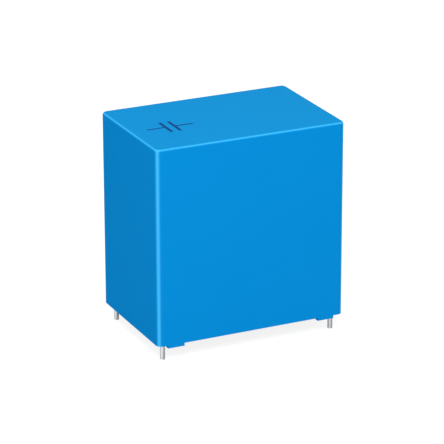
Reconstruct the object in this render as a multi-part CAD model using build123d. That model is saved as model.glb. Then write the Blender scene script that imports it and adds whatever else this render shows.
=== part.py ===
from build123d import *

import os
from itertools import product

# A box film capacitor with four board leads.
#
# Millimetres, +Z up. The origin is the centre of the lead pattern in the seating plane,
# which is the underside of the four stand-off feet and the top of the board. X runs from
# one terminal to the other, and Y across the two legs of a terminal.
#
# The capacitor is one pressed oval winding of metallised film, whose two ends carry a
# layer of sprayed metal. A wire bent to an upturned U crosses each sprayed end and is
# soldered to it, and its two legs leave the case as leads. The winding stands in a
# moulded case that is open at the bottom, and casting resin fills what is left and
# seals the opening.

# Terminal wires
lead_diameter = 1.0
lead_pitch = 37.5  # between the two terminals, along X
lead_row_pitch = 23.1  # between the two legs of a terminal, along Y
lead_length = 2.95  # free length below the seating plane
lead_bend_radius = 1.0  # at the wire's centre line
lead_bar_height = 14.0  # the crossing stretch's centre line above the seating plane
lead_sink = 0.1  # how far the crossing stretch is pressed into the sprayed metal

# Moulded case
case_wall = 0.9  # at the open rim
case_roof = 1.1
case_height = 41.15  # from the open rim to the closed top
case_corner_radius = 1.2  # the four upright edges
case_top_radius = 0.55  # the edges round the top face
cavity_corner_radius = 0.5
cavity_draft = 0.3  # degrees, so that the moulding's core pulls out
lead_end_gap = 0.45  # resin between a lead and the end wall
lead_side_gap = 0.7  # resin between a lead and the side wall

# Stand-off feet, which are the lower ends of the ribs that centre the winding
foot_height = 0.6
foot_length = 3.55
foot_inset = 2.2  # from the case's end face to the foot
rib_height = 1.75  # how far a rib stands into the case
lead_relief = 0.3  # clearance between a lead and the rib beside it

# Winding and its sprayed ends
winding_clearance = 0.5  # to the ribs on each side
winding_roof_gap = 0.6
winding_cover = 2.8  # resin between the winding and the open end
spray_thickness = 0.5

# Solder joint along the crossing stretch of a terminal wire
joint_length = 9.0
joint_width = 3.4
joint_height = 1.1
joint_slope = 30  # degrees, how much its sides lean in

# Casting resin
resin_recess = 0.6  # from the rim up to the resin's surface
resin_creep = 0.3  # how far the resin creeps towards the rim along the walls
resin_creep_slope = 45  # degrees

# Sizes that follow
lead_radius = lead_diameter / 2
case_length = lead_pitch + lead_diameter + 2 * (lead_end_gap + case_wall)
case_width = lead_row_pitch + lead_diameter + 2 * (lead_side_gap + case_wall)
cavity_length = case_length - 2 * case_wall
cavity_width = case_width - 2 * case_wall
cavity_depth = case_height - case_roof
resin_level = foot_height + resin_recess
winding_thickness = cavity_width - 2 * (rib_height + winding_clearance)
winding_bottom = resin_level + winding_cover
winding_top = foot_height + cavity_depth - winding_roof_gap
winding_height = winding_top - winding_bottom
spray_face = lead_pitch / 2 - lead_radius + lead_sink
winding_length = 2 * (spray_face - spray_thickness)
foot_depth = case_wall + rib_height
foot_x = case_length / 2 - foot_inset - foot_length / 2
foot_y = case_width / 2 - foot_depth / 2

ENDS = {"left": -1, "right": 1}
CORNERS = list(product(ENDS.values(), (-1, 1)))


def lead_circles(radius):
    """One circle round each of the four leads."""
    return [
        Pos(end * lead_pitch / 2, side * lead_row_pitch / 2) * Circle(radius)
        for end, side in CORNERS
    ]


def rib_section():
    """The four ribs with the wall behind them, hollowed where a lead passes."""
    pads = [
        Pos(end * foot_x, side * foot_y) * Rectangle(foot_length, foot_depth)
        for end, side in CORNERS
    ]
    return Sketch() + pads - lead_circles(lead_radius + lead_relief)


def ribs():
    """The four ribs, whose lower ends are the feet, from the board to the case's roof."""
    return extrude(rib_section(), foot_height + cavity_depth)


def mouth(height):
    """The outline of the case's opening, at a height above the open rim."""
    return Pos(0, 0, foot_height + height) * Rectangle(cavity_length, cavity_width)


def cavity():
    """The hollow of the case, which narrows towards the roof by the moulding draft."""
    hollow = extrude(mouth(0), cavity_depth, taper=cavity_draft)
    uprights = hollow.edges().group_by(Axis.Z)[1]
    return fillet(uprights, cavity_corner_radius)


def winding_section():
    """The pressed winding's oval, upright in the YZ plane."""
    middle = (winding_bottom + winding_top) / 2
    oval = SlotOverall(winding_height, winding_thickness, rotation=90)
    return Plane.YZ * Pos(0, middle) * oval


def make_winding():
    """The wound film, with its axis along X."""
    return extrude(winding_section(), winding_length / 2, both=True)


def make_terminal(end):
    """A wire bent to an upturned U. Its legs are two of the leads."""
    x = end * lead_pitch / 2
    y = lead_row_pitch / 2
    path = FilletPolyline(
        (x, -y, -lead_length),
        (x, -y, lead_bar_height),
        (x, y, lead_bar_height),
        (x, y, -lead_length),
        radius=lead_bend_radius,
    )
    start = Plane(origin=path @ 0, z_dir=path % 0)
    return sweep(start * Circle(lead_radius), path=path)


def make_spray(end, terminal):
    """The metal sprayed on one end of the winding, grooved by the terminal wire."""
    inner = Pos(end * winding_length / 2, 0, 0) * winding_section()
    layer = extrude(inner, spray_thickness, dir=(end, 0, 0))
    return layer - terminal


def make_joint(end, terminal):
    """A low mound of solder along the wire, on the sprayed face."""
    face = Plane(
        origin=(end * spray_face, 0, lead_bar_height), x_dir=(0, 1, 0), z_dir=(end, 0, 0)
    )
    outline = face * SlotOverall(joint_length, joint_width)
    return extrude(outline, joint_height, taper=joint_slope) - terminal


def make_case():
    """The moulded case: a rounded box, open below, with four ribs that end in feet."""
    outline = RectangleRounded(case_length, case_width, case_corner_radius)
    box = extrude(Pos(0, 0, foot_height) * outline, case_height)
    top = box.faces().sort_by(Axis.Z)[-1]
    box = fillet(top.edges(), case_top_radius)
    return box - cavity() + ribs()


def make_resin(inside):
    """What fills the case round the other pieces, up to a little short of the rim."""
    rise = resin_recess - resin_creep
    block = cavity() - extrude(mouth(0), rise)
    block -= extrude(mouth(rise), resin_creep, taper=resin_creep_slope)
    block -= ribs()
    for piece in inside:
        block -= piece
    return block


def build():
    """Every piece by the name of its node."""
    pieces = {"film_winding": make_winding()}
    for end_name, end in ENDS.items():
        terminal = make_terminal(end)
        pieces[f"terminal_wire_{end_name}"] = terminal
        pieces[f"end_spray_{end_name}"] = make_spray(end, terminal)
        pieces[f"solder_joint_{end_name}"] = make_joint(end, terminal)
    pieces["potting_resin"] = make_resin(list(pieces.values()))
    pieces["case"] = make_case()
    return pieces


os.makedirs("parts", exist_ok=True)
for name, piece in build().items():
    export_step(piece, f"parts/{name}.step")
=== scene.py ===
import math

import bpy
import numpy as np
from mathutils import Matrix, Vector


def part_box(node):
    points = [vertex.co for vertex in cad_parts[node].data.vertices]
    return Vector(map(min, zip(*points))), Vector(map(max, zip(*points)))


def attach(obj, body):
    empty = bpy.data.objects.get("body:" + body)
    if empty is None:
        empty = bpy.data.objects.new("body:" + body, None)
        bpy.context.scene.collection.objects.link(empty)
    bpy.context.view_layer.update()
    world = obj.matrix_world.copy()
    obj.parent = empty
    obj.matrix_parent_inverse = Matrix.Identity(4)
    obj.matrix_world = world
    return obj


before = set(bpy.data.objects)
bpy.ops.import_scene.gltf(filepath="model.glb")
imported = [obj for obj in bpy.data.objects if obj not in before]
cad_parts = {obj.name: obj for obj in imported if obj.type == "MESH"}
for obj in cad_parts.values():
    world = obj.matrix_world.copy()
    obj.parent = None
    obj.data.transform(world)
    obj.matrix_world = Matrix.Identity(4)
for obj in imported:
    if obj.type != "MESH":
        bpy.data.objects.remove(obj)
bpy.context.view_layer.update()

# Sizes of the capacitor, in metres, as the CAD has them. RIM is how high the case's rim
# stands above the feet's undersides, BAR_HEIGHT is the middle of a wire's crossing
# stretch, and the ribs lie between two places along X and beyond one along Y.
MM = 0.001
CASE_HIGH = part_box("case")[1]
CASE_TOP = CASE_HIGH[2]
RIM = 0.6 * MM
WALL = 0.9 * MM
RESIN_LEVEL = 1.2 * MM
LEAD_X, LEAD_Y = 18.75 * MM, 11.55 * MM
LEAD_RADIUS = 0.5 * MM
WIRE_LOW, WIRE_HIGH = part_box("terminal_wire_left")
LEAD_TIP = WIRE_LOW[2]
BAR_HEIGHT = WIRE_HIGH[2] - LEAD_RADIUS
RIB_X = (14.85 * MM, 18.40 * MM)
RIB_Y = 11.0 * MM

# The printed symbol: its middle, then how far its plates and wires lie from the middle
# and their half sizes
PRINT_X, PRINT_Y = -12.1 * MM, -1.4 * MM
PLATE_PLACE, PLATE_HALF = 0.95 * MM, (0.33 * MM, 3.1 * MM)
STUB_PLACE, STUB_HALF = 3.0 * MM, (2.0 * MM, 0.26 * MM)

# The colour sockets of a Mix node: its two inputs and its output
MIX_FIRST, MIX_SECOND, MIX_RESULT = 6, 7, 2


def add(name, data):
    """A new object in the scene, at the origin."""
    made = bpy.data.objects.new(name, data)
    bpy.context.collection.objects.link(made)
    return made


class Shade:
    """A value in a node tree. Arithmetic on it adds Math nodes."""

    def __init__(self, nodes, socket):
        self.nodes, self.socket = nodes, socket

    def math(self, operation, *values):
        return self.nodes.node("ShaderNodeMath", {"operation": operation}, dict(enumerate(values)))

    def __add__(self, other):
        return self.math("ADD", self, other)

    def __radd__(self, other):
        return self.math("ADD", other, self)

    def __sub__(self, other):
        return self.math("SUBTRACT", self, other)

    def __rsub__(self, other):
        return self.math("SUBTRACT", other, self)

    def __mul__(self, other):
        return self.math("MULTIPLY", self, other)

    def __rmul__(self, other):
        return self.math("MULTIPLY", other, self)

    def __pow__(self, other):
        return self.math("POWER", self, other)

    def __abs__(self):
        return self.math("ABSOLUTE", self)

    def most(self, other):
        return self.math("MAXIMUM", self, other)

    def rise(self, low, high):
        """0 below low, 1 above high, and a smooth step between them."""
        settings = {"interpolation_type": "SMOOTHSTEP"}
        inputs = {"Value": self, "From Min": low, "From Max": high}
        return self.nodes.node("ShaderNodeMapRange", settings, inputs)


class Nodes:
    """The node tree of a material or of the world."""

    def __init__(self, owner):
        owner.use_nodes = True
        self.tree = owner.node_tree
        self.tree.nodes.clear()

    def node(self, kind, settings=None, inputs=None, output=0):
        """Any node: its settings first, then the values or links of its sockets."""
        made = self.tree.nodes.new(kind)
        for key, value in (settings or {}).items():
            setattr(made, key, value)
        for key, value in (inputs or {}).items():
            if isinstance(value, Shade):
                self.tree.links.new(value.socket, made.inputs[key])
            else:
                made.inputs[key].default_value = value
        return Shade(self, made.outputs[output]) if made.outputs else None

    def ray(self, kind):
        """1 where the surface is met by that kind of ray, such as Camera."""
        return self.node("ShaderNodeLightPath", output=f"Is {kind} Ray")

    def mirrored(self):
        """1 where a metal's or a glass's ray meets the surface."""
        return self.ray("Glossy").most(self.ray("Transmission"))

    def mix(self, share, first, second):
        """A colour between two others."""
        inputs = {"Factor": share, MIX_FIRST: first, MIX_SECOND: second}
        return self.node("ShaderNodeMix", {"data_type": "RGBA"}, inputs, MIX_RESULT)


class Finish(Nodes):
    """One material of the capacitor. Its patterns are on Object coordinates."""

    def __init__(self, name):
        self.material = bpy.data.materials.new(name)
        super().__init__(self.material)
        self.place = self.node("ShaderNodeTexCoord", output="Object")

    def axes(self, vector):
        """The X, Y and Z of a vector."""
        first = self.node("ShaderNodeSeparateXYZ", inputs={"Vector": vector})
        return [Shade(self, part) for part in first.socket.node.outputs]

    def noise(self, size, detail=2.0, stretch=(1, 1, 1), offset=(0, 0, 0)):
        """Noise from 0 to 1 whose spots are about size metres across.

        A stretch below 1 draws the spots out along that axis, and the offset moves them.
        """
        moved = {"Vector": self.place, "Scale": stretch, "Location": offset}
        place = self.node("ShaderNodeMapping", inputs=moved)
        inputs = {"Vector": place, "Scale": 1 / size, "Detail": detail}
        return self.node("ShaderNodeTexNoise", inputs=inputs, output="Fac")

    def bump(self, height, distance, before=None):
        """A normal from a height of 0 to 1 times the distance, over another normal."""
        inputs = {"Height": height, "Distance": distance, "Strength": 1.0}
        if before is not None:
            inputs["Normal"] = before
        return self.node("ShaderNodeBump", inputs=inputs)

    def surface(self, **inputs):
        """Ends the material with its one surface shader."""
        named = {key.replace("_", " "): value for key, value in inputs.items()}
        shader = self.node("ShaderNodeBsdfPrincipled", inputs=named)
        self.node("ShaderNodeOutputMaterial", inputs={"Surface": shader})
        return self.material


def case_finish():
    """Moulded plastic with hardly any gloss, with a painted highlight along its rounded edges
    and a painted sheen on top, and a printed symbol.

    The painted highlight's mask is how far the surface's normal leaves the nearest axis. The
    symbol is two plates and two stubs of wire, as bands of X and Y on the top face, with a
    ragged outline and worn spots. The painted highlight is a little stronger on the upright
    edges than on the top ones.
    """
    blue, fresh_blue = (0.002, 0.262, 0.675, 1), (0.003, 0.272, 0.695, 1)
    # sheen_blue is a painted sheen: the top face's colour stands in for the light the top catches
    sheen_blue = (0.0095, 0.275, 0.618, 1)
    # highlight_blue is a painted highlight for the rounded edges; print_blue is the print's ink
    highlight_blue, print_blue = (0.062, 0.515, 0.97, 1), (0.010, 0.040, 0.20, 1)
    f = Finish("case_plastic")
    x, y, _ = f.axes(f.place)
    nx, ny, nz = f.axes(f.node("ShaderNodeTexCoord", output="Normal"))
    flatness = abs(nx).most(abs(ny)).most(abs(nz))
    edge_highlight = (1 - flatness).rise(0.03, 0.24)
    cloud = f.noise(14 * MM, 3.0)
    grain = f.noise(0.16 * MM, 3.0)
    rub = f.noise(3 * MM, 4.0, stretch=(1, 1, 0.25)).rise(0.55, 0.8)
    # Painted sheen: the top face is mixed towards a paler, greener blue
    body = f.mix(nz.rise(0.2, 0.9) * 0.8, f.mix(cloud, blue, fresh_blue), sheen_blue)
    # Painted highlight: the rounded edges are mixed towards a pale blue, a little more on the
    # upright edges
    body = f.mix(edge_highlight * (0.90 - 0.22 * abs(nz)), body, highlight_blue)

    def inside(value, half, soft=0.06 * MM):
        return 1 - abs(value).rise(half - soft, half + soft)

    ragged = (f.noise(0.35 * MM, 2.0) - 0.5) * (0.10 * MM)
    u = x - PRINT_X + ragged
    v = y - PRINT_Y + ragged
    plates = inside(abs(u) - PLATE_PLACE, PLATE_HALF[0]) * inside(v, PLATE_HALF[1])
    stubs = inside(abs(u) - STUB_PLACE, STUB_HALF[0]) * inside(v, STUB_HALF[1])
    print_mask = plates.most(stubs) * nz.rise(0.9, 0.95)
    worn = 0.93 - 0.25 * f.noise(0.25 * MM, 3.0, offset=(3, 1, 2)).rise(0.55, 0.75)
    colour = f.mix(print_mask * worn, body, print_blue)

    rough = 0.36 + 0.05 * cloud + 0.05 * grain + 0.05 * rub + 0.10 * print_mask
    normal = f.bump(grain * 0.8 + print_mask * 0.2, 0.0035 * MM)
    return f.surface(
        Base_Color=colour, Roughness=rough, Specular_IOR_Level=0.001, Normal=normal
    )


def resin_finish():
    """Cast resin: dark, a little cloudy, with fine dust and a skin that ripples."""
    deep, cloudy, dust = (0.010, 0.045, 0.11, 1), (0.020, 0.075, 0.16, 1), (0.07, 0.13, 0.20, 1)
    f = Finish("casting_resin")
    cloud = f.noise(4 * MM, 4.0)
    speck = f.noise(0.22 * MM, 2.0).rise(0.62, 0.72)
    colour = f.mix(speck * 0.35, f.mix(cloud, deep, cloudy), dust)
    rough = 0.30 + 0.18 * cloud + 0.15 * speck
    ripple = f.bump(f.noise(2.2 * MM, 2.0), 0.05 * MM)
    normal = f.bump(f.noise(0.12 * MM, 2.0), 0.003 * MM, ripple)
    return f.surface(
        Base_Color=colour, Roughness=rough, Specular_IOR_Level=0.45, Normal=normal
    )


def wire_finish():
    """Tinned copper wire: dark and bright streaks of tin along it, set so that the dark ones
    also serve as painted shade on the leads' sides and the bright ones as a painted highlight,
    fine drawing lines, and bare copper at the cut ends.

    A pattern is drawn out along Z on the legs and along Y on the crossing stretch.
    """
    # The dull and bright tin are also the painted shade and the painted highlight of the leads
    dull_tin_and_shade, bright_tin_and_highlight = (0.30, 0.295, 0.29, 1), (0.90, 0.89, 0.87, 1)
    grey_tin, copper = (0.44, 0.44, 0.43, 1), (0.66, 0.32, 0.18, 1)
    f = Finish("tinned_wire")
    x, y, z = f.axes(f.place)
    crossing = z.rise(BAR_HEIGHT - 0.8 * MM, BAR_HEIGHT - 0.2 * MM)
    copper_radius = (0.38 * MM, 0.44 * MM)

    def drawn(size, detail, thin, offset=(0, 0, 0)):
        legs = f.noise(size, detail, (1, 1, thin), offset)
        return legs + crossing * (f.noise(size, detail, (1, thin, 1), offset) - legs)

    lines = drawn(0.07 * MM, 2.0, 0.04)
    # Painted shade and highlight: the offset puts dark tin where the leads are shaded and bright
    # tin where they catch the light
    streak_and_shade = drawn(0.55 * MM, 1.0, 0.03, offset=(-18.72 * MM, -16.32 * MM, 0))
    cloud = f.noise(0.8 * MM, 3.0)
    off_x, off_y = abs(x) - LEAD_X, abs(y) - LEAD_Y
    reach = (off_x * off_x + off_y * off_y) ** 0.5
    ragged = (cloud - 0.5) * (0.12 * MM)
    middle = 1 - (reach + ragged).rise(*copper_radius)
    cut = middle * (1 - z.rise(LEAD_TIP + 0.01 * MM, LEAD_TIP + 0.03 * MM))
    tin = f.mix(lines * 0.3 + streak_and_shade.rise(0.40, 0.60) * 0.7, dull_tin_and_shade, bright_tin_and_highlight)
    tin = f.mix(cloud.rise(0.45, 0.75) * 0.35, tin, grey_tin)
    colour = f.mix(cut, tin, copper)
    rough = 0.15 + 0.12 * lines + 0.12 * cloud + 0.15 * cut
    normal = f.bump(lines, 0.006 * MM)
    return f.surface(Base_Color=colour, Metallic=1.0, Roughness=rough, Normal=normal)


def film_finish():
    """The side of a tight roll of metallised film: fine turns with a soft gleam."""
    dark_turn, bright_turn = (0.42, 0.43, 0.45, 1), (0.66, 0.67, 0.68, 1)
    f = Finish("metallised_film")
    turns = f.noise(0.10 * MM, 2.0, stretch=(0.02, 1, 1))
    cloud = f.noise(5 * MM, 3.0)
    colour = f.mix(turns, dark_turn, bright_turn)
    rough = 0.30 + 0.15 * cloud + 0.10 * turns
    normal = f.bump(turns, 0.01 * MM)
    return f.surface(Base_Color=colour, Metallic=0.6, Roughness=rough, Normal=normal)


def spray_finish():
    """Sprayed zinc: dull grey and grainy."""
    hollow, grain_top = (0.26, 0.27, 0.28, 1), (0.52, 0.53, 0.54, 1)
    f = Finish("sprayed_metal")
    grain = f.noise(0.18 * MM, 4.0)
    cloud = f.noise(3 * MM, 3.0)
    colour = f.mix(grain, hollow, grain_top)
    rough = 0.62 + 0.20 * grain - 0.08 * cloud
    normal = f.bump(grain, 0.08 * MM)
    return f.surface(Base_Color=colour, Metallic=0.8, Roughness=rough, Normal=normal)


def solder_finish():
    """Solder: bright, with a dull crust of flux in places."""
    bright, flux = (0.62, 0.62, 0.62, 1), (0.42, 0.38, 0.30, 1)
    f = Finish("solder")
    cloud = f.noise(1.2 * MM, 3.0)
    crust = f.noise(0.5 * MM, 3.0).rise(0.55, 0.7)
    colour = f.mix(crust, bright, flux)
    rough = 0.22 + 0.15 * cloud + 0.30 * crust
    metal = 1 - 0.5 * crust
    normal = f.bump(cloud, 0.05 * MM)
    return f.surface(Base_Color=colour, Metallic=metal, Roughness=rough, Normal=normal)


# The visible face of the casting resin: its grid and slab, how far it creeps at each kind
# of neighbour and the distance in which that falls off, its swell, and its burst bubbles.
# The bubbles' field is a share of the face's half sides, and their lip's place and width
# are shares of a bubble's size.
SKIN_GRID = (252, 164)
SKIN_MARGIN = 0.01 * MM
SKIN_THICKNESS = 0.3 * MM
SKIN_DEPTH = 0.14 * MM
WALL_CREEP, WALL_FALL = 0.26 * MM, 0.30 * MM
RIB_CREEP, RIB_FALL = 0.20 * MM, 0.28 * MM
LEAD_CREEP, LEAD_FALL = 0.22 * MM, 0.24 * MM
MOST_CREEP = 0.42 * MM
SWELL, SIDE_SWELL = 0.025 * MM, 0.02 * MM
SWELL_LENGTH, SIDE_LENGTH, SLANT_LENGTH = 5.3 * MM, 3.7 * MM, 9 * MM
SWELL_START = 0.6
BUBBLES, BUBBLE_SEED = 13, 7
BUBBLE_SIZES = (0.16 * MM, 0.42 * MM)
BUBBLE_FIELD = (0.8, 0.75)
PIT, PIT_LIP = 0.10 * MM, 0.02 * MM
LIP_PLACE, LIP_WIDTH = 1.25, 0.25


def resin_skin():
    """The visible face of the casting resin, as a thin closed slab over the solid.

    On a grid of X and Y over the case's opening, the height is just below the pour level,
    so that the slab covers the solid's own face. From it goes a creep, which is the sum of
    three exponentials of the distances to the nearest wall, rib and lead, up to a most. To
    it come a slow swell of two sine waves and, at each burst bubble, a round pit with a
    low lip. The slab's other side is flat and lies inside the resin.
    """
    half_x = CASE_HIGH[0] - WALL - SKIN_MARGIN
    half_y = CASE_HIGH[1] - WALL - SKIN_MARGIN
    columns, rows = SKIN_GRID
    xs, ys = np.meshgrid(
        np.linspace(-half_x, half_x, columns), np.linspace(-half_y, half_y, rows)
    )
    ax, ay = np.abs(xs), np.abs(ys)
    to_wall = np.minimum(half_x - ax, half_y - ay)
    rib_dx = np.maximum(RIB_X[0] - ax, ax - RIB_X[1])
    to_rib = np.hypot(np.maximum(rib_dx, 0), np.maximum(RIB_Y - ay, 0))
    to_lead = np.maximum(np.hypot(ax - LEAD_X, ay - LEAD_Y) - LEAD_RADIUS, 0)
    creep = (
        WALL_CREEP * np.exp(-to_wall / WALL_FALL)
        + RIB_CREEP * np.exp(-to_rib / RIB_FALL)
        + LEAD_CREEP * np.exp(-to_lead / LEAD_FALL)
    )
    swell = SWELL * np.sin(xs / SWELL_LENGTH + SWELL_START)
    swell = swell + SIDE_SWELL * np.sin(ys / SIDE_LENGTH + xs / SLANT_LENGTH)
    height = RESIN_LEVEL - SKIN_DEPTH + swell - np.minimum(creep, MOST_CREEP)
    dice = np.random.default_rng(BUBBLE_SEED)
    for _ in range(BUBBLES):
        cx = dice.uniform(-BUBBLE_FIELD[0], BUBBLE_FIELD[0]) * half_x
        cy = dice.uniform(-BUBBLE_FIELD[1], BUBBLE_FIELD[1]) * half_y
        reach = np.hypot(xs - cx, ys - cy) / dice.uniform(*BUBBLE_SIZES)
        lip = np.exp(-(((reach - LIP_PLACE) / LIP_WIDTH) ** 2))
        height = height + PIT * np.exp(-(reach**4)) - PIT_LIP * lip
    height = np.minimum(height, RESIN_LEVEL - SKIN_MARGIN)
    under = np.stack([xs, ys, height], axis=-1).reshape(-1, 3)
    index = np.arange(rows * columns).reshape(rows, columns)
    rim = np.concatenate(
        [index[0, :-1], index[:-1, -1], index[-1, :0:-1], index[:0:-1, 0]]
    )
    back = under[rim].copy()
    back[:, 2] = RESIN_LEVEL + SKIN_THICKNESS
    points = np.concatenate([under, back])
    quads = np.stack(
        [index[:-1, :-1], index[1:, :-1], index[1:, 1:], index[:-1, 1:]], axis=-1
    ).reshape(-1, 4)
    upper = len(under) + np.arange(len(rim))
    sides = np.stack([rim, np.roll(rim, -1), np.roll(upper, -1), upper], axis=-1)
    faces = quads.tolist() + sides.tolist() + [upper.tolist()]
    mesh = bpy.data.meshes.new("resin_skin")
    mesh.from_pydata(points.tolist(), [], faces)
    mesh.shade_smooth()
    return add("resin_skin", mesh)


finishes = {
    "case": case_finish(),
    "potting_resin": resin_finish(),
    "film_winding": film_finish(),
    "end_spray": spray_finish(),
    "terminal_wire": wire_finish(),
    "solder_joint": solder_finish(),
}
for name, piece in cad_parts.items():
    finish = next(m for key, m in finishes.items() if name.startswith(key))
    piece.data.materials.clear()
    piece.data.materials.append(finish)

skin = resin_skin()
skin.data.materials.append(finishes["potting_resin"])
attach(skin, "root")

# Studio light: how strong the surroundings are, the floor's half side, its tones for
# thrown light, for mirrored rays and for the camera, and the lamp, with its angles in
# degrees and its power in watts
AMBIENT = 0.60
FLOOR_HALF = 1.5
FLOOR_TONE = 0.50
FLOOR_MIRRORED = 0.90
FLOOR_LIFT = 0.06
FLOOR_SHADE = 0.25
FLOOR_GLOW = 0.86
KEY_AZIMUTH, KEY_ELEVATION = -28.5, 46
KEY_DISTANCE, KEY_SIDE, KEY_POWER = 0.6, 0.30, 2.6
KEY_TARGET = Vector((0, 0, 20 * MM))


def grey(tone):
    """A colour with no hue."""
    return (tone, tone, tone, 1)


def stage_floor():
    """A plain white floor at the lead tips, that keeps the object's shadow.

    The camera sees a white glow with a little of the shadow. A metal or a glass sees
    a white floor with all of it, and the light that the floor throws back is softer.
    """
    corners = [(-1, -1), (1, -1), (1, 1), (-1, 1)]
    mesh = bpy.data.meshes.new("floor")
    points = [(x * FLOOR_HALF, y * FLOOR_HALF, LEAD_TIP) for x, y in corners]
    mesh.from_pydata(points, [], [(0, 1, 2, 3)])
    floor = add("floor", mesh)
    material = bpy.data.materials.new("floor_white")
    f = Nodes(material)
    mirrored = f.mirrored()
    tone = f.mix(mirrored, grey(FLOOR_TONE), grey(FLOOR_MIRRORED))
    matt = f.node("ShaderNodeBsdfDiffuse", inputs={"Color": tone})
    lift = f.node("ShaderNodeEmission", inputs={"Strength": mirrored * FLOOR_LIFT})
    soft = f.node("ShaderNodeBsdfDiffuse", inputs={"Color": grey(FLOOR_SHADE)})
    glow = f.node("ShaderNodeEmission", inputs={"Strength": FLOOR_GLOW})
    thrown = f.node("ShaderNodeAddShader", inputs={0: matt, 1: lift})
    shown = f.node("ShaderNodeAddShader", inputs={0: soft, 1: glow})
    total = f.node("ShaderNodeMixShader", inputs={"Fac": f.ray("Camera"), 1: thrown, 2: shown})
    f.node("ShaderNodeOutputMaterial", inputs={"Surface": total})
    mesh.materials.append(material)


def stage_world():
    """Even light from all round, and plain white where the camera or a gloss sees it."""
    world = bpy.data.worlds.new("studio")
    w = Nodes(world)
    seen = w.ray("Camera").most(w.mirrored())
    strength = AMBIENT + (1 - AMBIENT) * seen
    background = w.node("ShaderNodeBackground", inputs={"Color": grey(1), "Strength": strength})
    w.node("ShaderNodeOutputWorld", inputs={"Surface": background})
    bpy.context.scene.world = world


def direction(azimuth, elevation):
    """The way from the object to a place at those angles. Azimuth 0 is the front."""
    return Vector(
        (
            math.sin(azimuth) * math.cos(elevation),
            -math.cos(azimuth) * math.cos(elevation),
            math.sin(elevation),
        )
    )


def key_light():
    """A square soft lamp that faces the object."""
    out = direction(math.radians(KEY_AZIMUTH), math.radians(KEY_ELEVATION))
    lamp = bpy.data.lights.new("key", "AREA")
    lamp.size = KEY_SIDE
    lamp.energy = KEY_POWER
    light = add("key", lamp)
    light.location = KEY_TARGET + out * KEY_DISTANCE
    light.rotation_mode = "QUATERNION"
    light.rotation_quaternion = (-out).to_track_quat("-Z", "Y")


# The camera: its angles in degrees, its distance, how far it stands to the right and
# up in its own plane, its lens and its sensor in millimetres
CAMERA_ANGLES = (-25.312, 20.374, -0.121)
CAMERA_DISTANCE = 0.56131
CAMERA_RIGHT, CAMERA_UP = -0.122 * MM, -1.815 * MM
CAMERA_LENS, CAMERA_SENSOR = 224.96, 36
CAMERA_RANGE = (0.01, 10)


def place_camera():
    """The photograph's camera, solved from the edges of the case.

    It looks at the middle of the case's body from an azimuth of 25.3 degrees to the
    left of the front and an elevation of 20.4 degrees, through a long lens, with a
    small offset in its own plane.
    """
    azimuth, elevation, roll = map(math.radians, CAMERA_ANGLES)
    back = direction(azimuth, elevation)
    level = Vector((math.cos(azimuth), math.sin(azimuth), 0))
    upright = back.cross(level)
    right = level * math.cos(roll) + upright * math.sin(roll)
    up = upright * math.cos(roll) - level * math.sin(roll)
    middle = Vector((0, 0, (RIM + CASE_TOP) / 2))
    place = middle + back * CAMERA_DISTANCE + right * CAMERA_RIGHT + up * CAMERA_UP
    lens = bpy.data.cameras.new("camera")
    lens.sensor_width = CAMERA_SENSOR
    lens.lens = CAMERA_LENS
    lens.clip_start, lens.clip_end = CAMERA_RANGE
    camera = add("camera", lens)
    turn = Matrix((right, up, back)).transposed()
    camera.matrix_world = Matrix.Translation(place) @ turn.to_4x4()
    bpy.context.scene.camera = camera


stage_floor()
stage_world()
key_light()
place_camera()
bpy.context.scene.view_settings.view_transform = "Standard"
